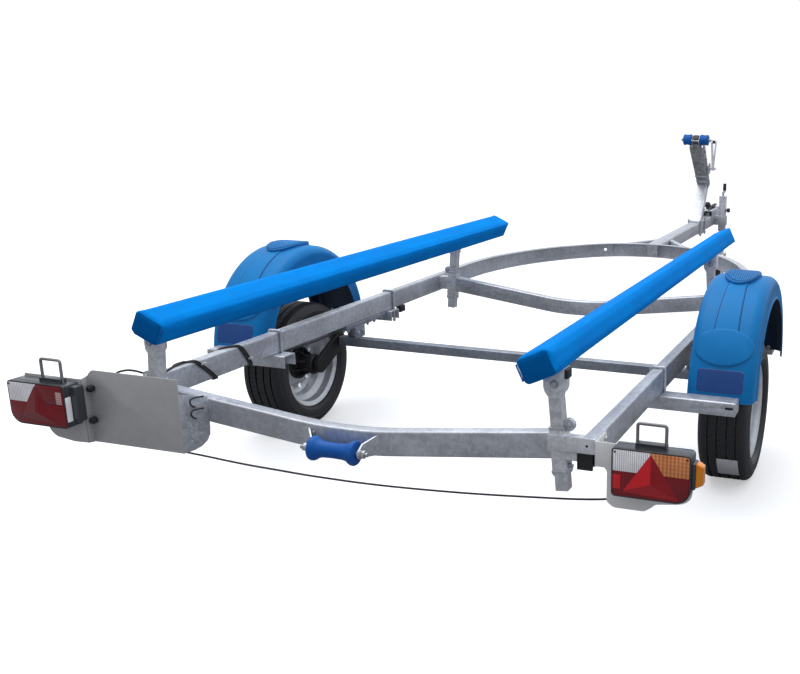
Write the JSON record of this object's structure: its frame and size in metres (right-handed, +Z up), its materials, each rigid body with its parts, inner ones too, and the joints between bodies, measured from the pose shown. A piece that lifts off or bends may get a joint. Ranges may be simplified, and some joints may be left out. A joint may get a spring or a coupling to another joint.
{
  "type": "boat trailer",
  "caption": "Single-axle galvanised boat trailer with padded bunks, keel roller, mudguards, lamp brackets, winch post, ball coupling and jockey wheel.",
  "frame": {"origin": "on the ground, midway between the two wheels' contact points", "axes": "+X to the trailer's right, +Y forward towards the coupling, +Z up"},
  "size_m": [2.14, 5.737, 1.135],
  "materials": {
    "black": "satin",
    "bunk_fabric": "woven cover",
    "cable_black": "satin",
    "galvanised": "hot-dip galvanised, satin",
    "guard_blue": "moulded",
    "hub_black": "dull",
    "jockey_rubber": "matt",
    "lamp_red": "gloss",
    "rim_silver": "satin silver",
    "roller_blue": "satin",
    "tyre": "matt black rubber"
  },
  "bodies": {
    "frame": {"axle_beam": "galvanised", "bow_rollers": "roller_blue", "bunk_clamps": "galvanised", "bunk_left": "bunk_fabric", "bunk_post_front_left": "galvanised", "bunk_post_front_right": "galvanised", "bunk_post_rear_left": "galvanised", "bunk_post_rear_right": "galvanised", "bunk_right": "bunk_fabric", "cable_glands": "black", "coupling_head": "galvanised", "coupling_lever": "black", "drawbar": "galvanised", "drawbar_braces": "galvanised", "front_crossmember": "galvanised", "front_hoop": "galvanised", "jockey_clamp": "galvanised", "keel_roller_bracket": "galvanised", "light_bracket_left": "galvanised", "light_bracket_right": "galvanised", "mudguard_bars_left": "galvanised", "mudguard_bars_right": "galvanised", "mudguard_left": "guard_blue", "mudguard_right": "guard_blue", "rear_cable": "cable_black", "rear_crossmember": "galvanised", "rear_tabs": "galvanised", "side_rail_left": "galvanised", "side_rail_right": "galvanised", "swing_arm_left": "black", "swing_arm_right": "black", "tail_lamp_left": "lamp_red", "tail_lamp_right": "lamp_red", "u_bolts": "galvanised", "winch_head": "galvanised", "winch_post": "galvanised"},
    "wheel_left": {"tyre_left": "tyre", "rim_left": "rim_silver", "hub_left": "hub_black"},
    "wheel_right": {"tyre_right": "tyre", "rim_right": "rim_silver", "hub_right": "hub_black"},
    "keel_roller": {"keel_roller": "roller_blue"},
    "winch_drum": {"winch_drum": "galvanised"},
    "jockey_leg": {"jockey_leg": "galvanised"},
    "jockey_fork": {"jockey_fork": "galvanised"},
    "jockey_wheel": {"jockey_wheel": "jockey_rubber"}
  },
  "joints": [
    {"name": "wheel_left_spin", "type": "hinge", "parent": "frame", "child": "wheel_left", "pos_m": [-0.948, 0, 0.263], "axis": [1, 0, 0], "continuous": true},
    {"name": "wheel_right_spin", "type": "hinge", "parent": "frame", "child": "wheel_right", "pos_m": [0.948, 0, 0.263], "axis": [1, 0, 0], "continuous": true},
    {"name": "keel_roller_spin", "type": "hinge", "parent": "frame", "child": "keel_roller", "pos_m": [0, -1.2, 0.397], "axis": [1, 0, 0], "continuous": true},
    {"name": "winch_drum_spin", "type": "hinge", "parent": "frame", "child": "winch_drum", "pos_m": [0, 3.74165, 0.88597], "axis": [1, 0, 0], "continuous": true},
    {"name": "jockey_leg_slide", "type": "slide", "parent": "frame", "child": "jockey_leg", "axis": [0, 0, 1], "range_m": [-0.05, 0.16]},
    {"name": "jockey_fork_swivel", "type": "hinge", "parent": "jockey_leg", "child": "jockey_fork", "pos_m": [0.1, 4.11, 0.214], "axis": [0, 0, 1], "continuous": true},
    {"name": "jockey_wheel_spin", "type": "hinge", "parent": "jockey_fork", "child": "jockey_wheel", "pos_m": [0.1, 4.065, 0.1], "axis": [1, 0, 0], "continuous": true}
  ]
}
